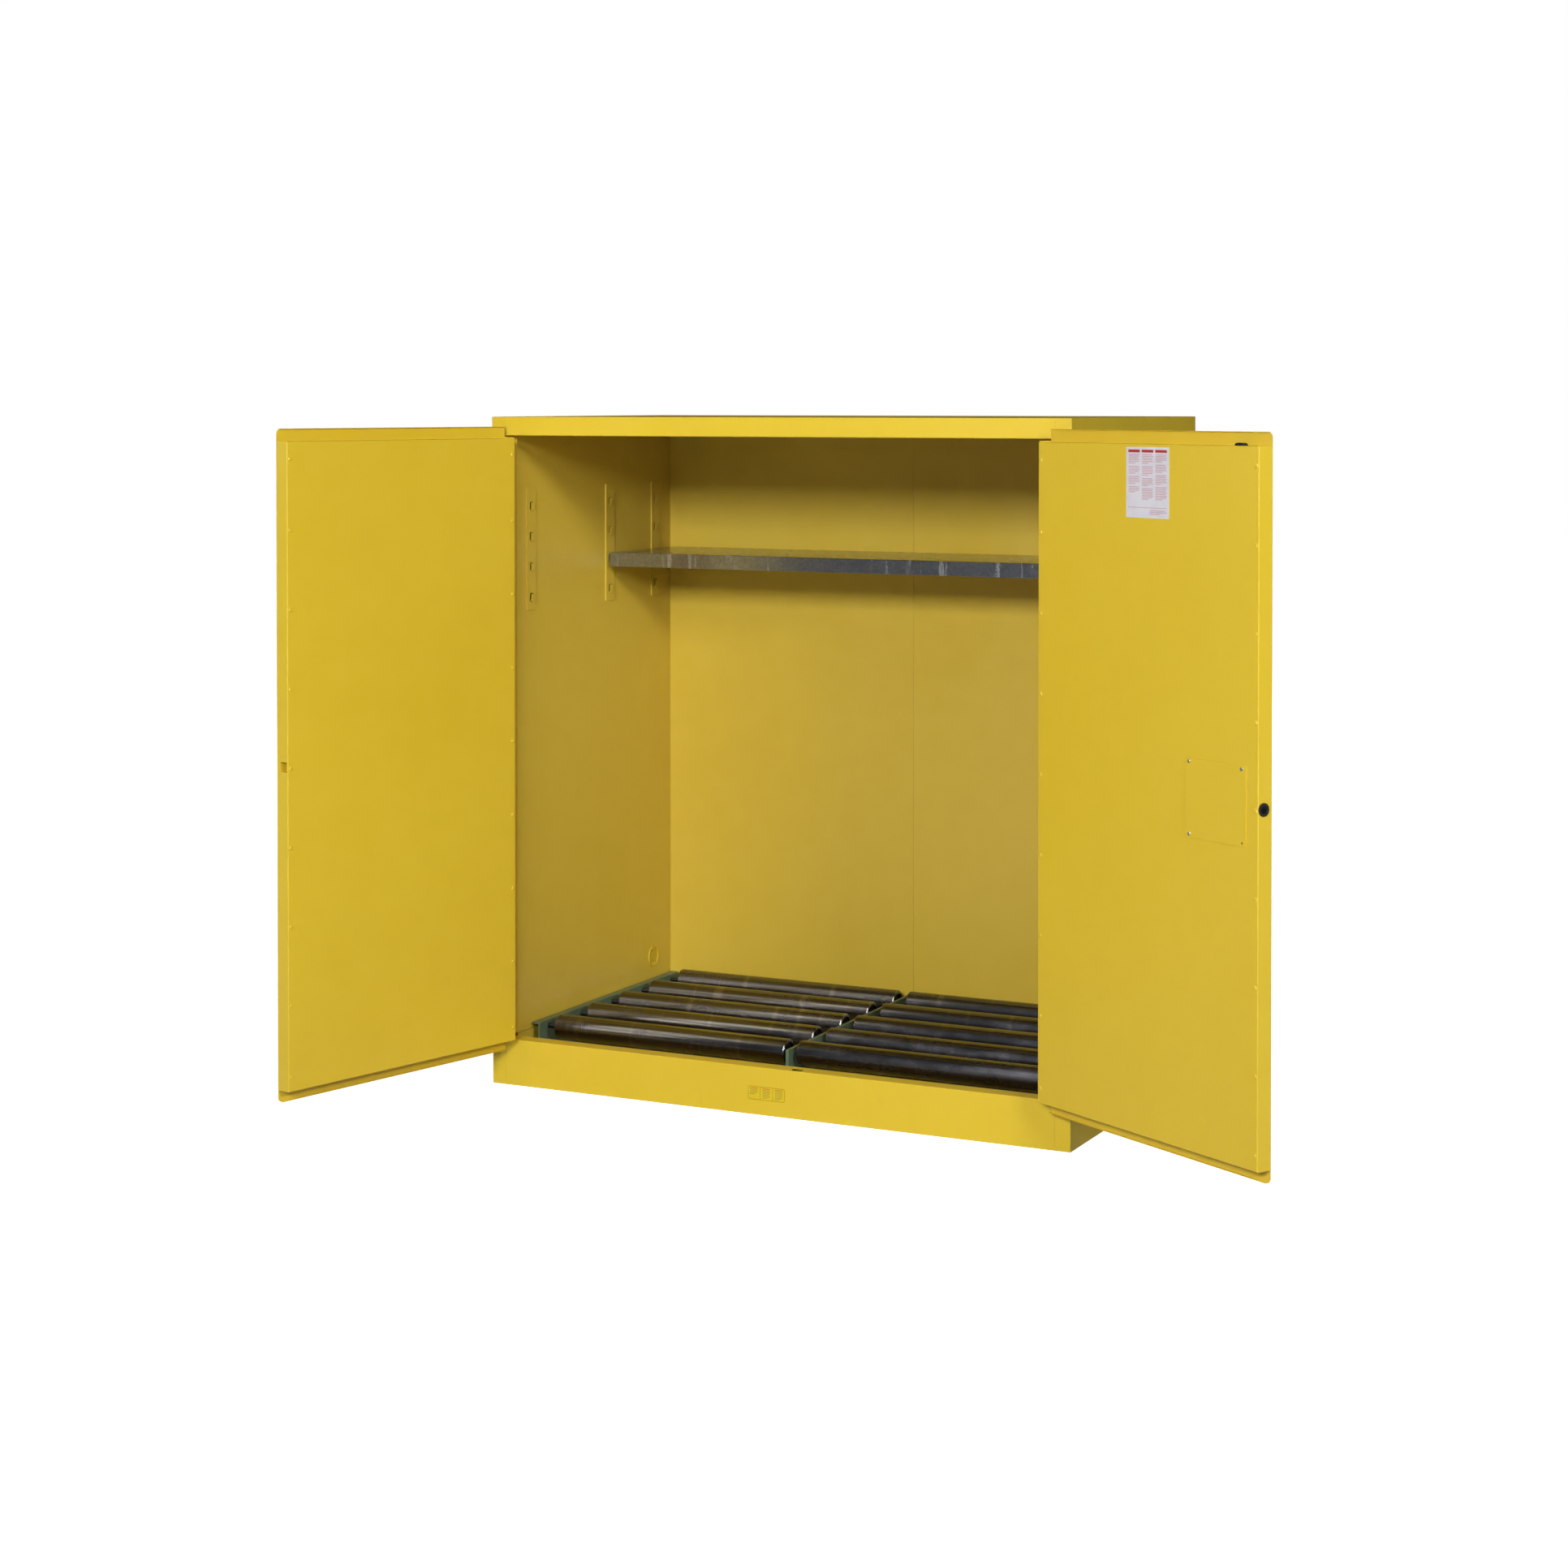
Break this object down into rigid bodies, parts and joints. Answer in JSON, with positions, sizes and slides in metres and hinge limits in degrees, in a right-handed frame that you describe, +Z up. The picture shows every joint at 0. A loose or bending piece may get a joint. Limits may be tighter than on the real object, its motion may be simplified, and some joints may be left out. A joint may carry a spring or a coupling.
{
  "type": "flammable storage cabinet",
  "caption": "Double-walled yellow safety cabinet for upright drums, with two hinged doors, a bolt latch, a part-depth shelf and a floor of rollers over a spill sump.",
  "frame": {"origin": "middle of the body's base, on the floor", "axes": "+X to the right seen from the doors, +Y to the back, +Z up; the doors are at -Y"},
  "size_m": [2.2147, 1.583, 1.638],
  "materials": {
    "body_yellow": "semi-gloss enamel",
    "door_yellow": "semi-gloss enamel",
    "rail_grey": "satin enamel",
    "galvanised": "spangled galvanised sheet",
    "zinc_steel": "zinc plated",
    "roller_steel": "drawn steel tube, bare",
    "brass": "bare",
    "black_plastic": "satin",
    "handle_chrome": "plated",
    "cast_metal": "painted casting",
    "label_white": "printed sticker",
    "label_yellow": "printed sticker"
  },
  "bodies": {
    "cabinet": {"left_side_panel": "body_yellow", "right_side_panel": "body_yellow", "back_panel": "body_yellow", "top_panel": "body_yellow", "bottom_panel": "body_yellow", "left_liner": "body_yellow", "right_liner": "body_yellow", "back_liner_left": "body_yellow", "back_liner_right": "body_yellow", "top_liner": "body_yellow", "floor_pan": "body_yellow", "header": "body_yellow", "sill": "body_yellow", "base_channels": "body_yellow", "shelf_standards": "body_yellow", "shelf": "galvanised", "shelf_hooks": "galvanised", "left_rail": "rail_grey", "centre_rail": "rail_grey", "right_rail": "rail_grey", "rail_ties": "rail_grey", "roller_axles": "zinc_steel", "roller_bearings": "zinc_steel", "vents": "cast_metal", "vent_caps": "cast_metal", "ground_stud": "brass", "levelling_feet": "zinc_steel", "sill_label": "label_yellow", "left_frame_leaf": "body_yellow", "right_frame_leaf": "body_yellow", "hinge_pins": "zinc_steel"},
    "roller_l1": {"roller_l1": "roller_steel"},
    "roller_l2": {"roller_l2": "roller_steel"},
    "roller_l3": {"roller_l3": "roller_steel"},
    "roller_l4": {"roller_l4": "roller_steel"},
    "roller_l5": {"roller_l5": "roller_steel"},
    "roller_r1": {"roller_r1": "roller_steel"},
    "roller_r2": {"roller_r2": "roller_steel"},
    "roller_r3": {"roller_r3": "roller_steel"},
    "roller_r4": {"roller_r4": "roller_steel"},
    "roller_r5": {"roller_r5": "roller_steel"},
    "left_door": {"left_door_leaf": "door_yellow", "left_door_skin": "door_yellow", "left_door_box": "door_yellow", "left_strike": "door_yellow"},
    "right_door": {"right_door_leaf": "door_yellow", "right_door_skin": "door_yellow", "right_door_box": "door_yellow", "access_plate": "door_yellow", "access_screws": "zinc_steel", "door_label": "label_white", "bolt_guide": "black_plastic", "handle_plate": "handle_chrome", "key_lock": "handle_chrome", "rod_guides": "zinc_steel"},
    "handle": {"handle": "handle_chrome", "latch_cam": "zinc_steel"},
    "top_rod": {"top_rod": "zinc_steel"},
    "bottom_rod": {"bottom_rod": "zinc_steel"},
    "middle_bolt": {"middle_bolt": "zinc_steel"}
  },
  "joints": [
    {"name": "left_door_swing", "type": "hinge", "parent": "cabinet", "child": "left_door", "pos_m": [-0.7155, -0.4464, 0.85], "axis": [0, 0, -1], "range_deg": [-104.2, 70.8]},
    {"name": "right_door_swing", "type": "hinge", "parent": "cabinet", "child": "right_door", "pos_m": [0.7155, -0.4464, 0.85], "axis": [0, 0, 1], "range_deg": [-149.7, 25.3]},
    {"name": "handle_turn", "type": "hinge", "parent": "right_door", "child": "handle", "pos_m": [1.26987, -0.77614, 0.851], "axis": [-0.5045, -0.8634, 0], "range_deg": [0, 60]},
    {"name": "top_rod_slide", "type": "slide", "parent": "right_door", "child": "top_rod", "axis": [0, 0, 1], "range_m": [0, 0.01201]},
    {"name": "bottom_rod_slide", "type": "slide", "parent": "right_door", "child": "bottom_rod", "axis": [0, 0, -1], "range_m": [0, 0.01201]},
    {"name": "middle_bolt_slide", "type": "slide", "parent": "right_door", "child": "middle_bolt", "axis": [0.8634, -0.5045, 0], "range_m": [0, 0.01201]},
    {"name": "roller_l1_spin", "type": "hinge", "parent": "cabinet", "child": "roller_l1", "pos_m": [-0.334, -0.287, 0.12], "axis": [1, 0, 0], "continuous": true},
    {"name": "roller_l2_spin", "type": "hinge", "parent": "cabinet", "child": "roller_l2", "pos_m": [-0.334, -0.127, 0.12], "axis": [1, 0, 0], "continuous": true},
    {"name": "roller_l3_spin", "type": "hinge", "parent": "cabinet", "child": "roller_l3", "pos_m": [-0.334, 0.033, 0.12], "axis": [1, 0, 0], "continuous": true},
    {"name": "roller_l4_spin", "type": "hinge", "parent": "cabinet", "child": "roller_l4", "pos_m": [-0.334, 0.193, 0.12], "axis": [1, 0, 0], "continuous": true},
    {"name": "roller_l5_spin", "type": "hinge", "parent": "cabinet", "child": "roller_l5", "pos_m": [-0.334, 0.353, 0.12], "axis": [1, 0, 0], "continuous": true},
    {"name": "roller_r1_spin", "type": "hinge", "parent": "cabinet", "child": "roller_r1", "pos_m": [0.334, -0.287, 0.12], "axis": [1, 0, 0], "continuous": true},
    {"name": "roller_r2_spin", "type": "hinge", "parent": "cabinet", "child": "roller_r2", "pos_m": [0.334, -0.127, 0.12], "axis": [1, 0, 0], "continuous": true},
    {"name": "roller_r3_spin", "type": "hinge", "parent": "cabinet", "child": "roller_r3", "pos_m": [0.334, 0.033, 0.12], "axis": [1, 0, 0], "continuous": true},
    {"name": "roller_r4_spin", "type": "hinge", "parent": "cabinet", "child": "roller_r4", "pos_m": [0.334, 0.193, 0.12], "axis": [1, 0, 0], "continuous": true},
    {"name": "roller_r5_spin", "type": "hinge", "parent": "cabinet", "child": "roller_r5", "pos_m": [0.334, 0.353, 0.12], "axis": [1, 0, 0], "continuous": true}
  ],
  "couplings": [
    {"joint": "top_rod_slide", "follows": "handle_turn", "m_per_rad": 0.011459},
    {"joint": "bottom_rod_slide", "follows": "handle_turn", "m_per_rad": 0.011459},
    {"joint": "middle_bolt_slide", "follows": "handle_turn", "m_per_rad": 0.011459}
  ]
}
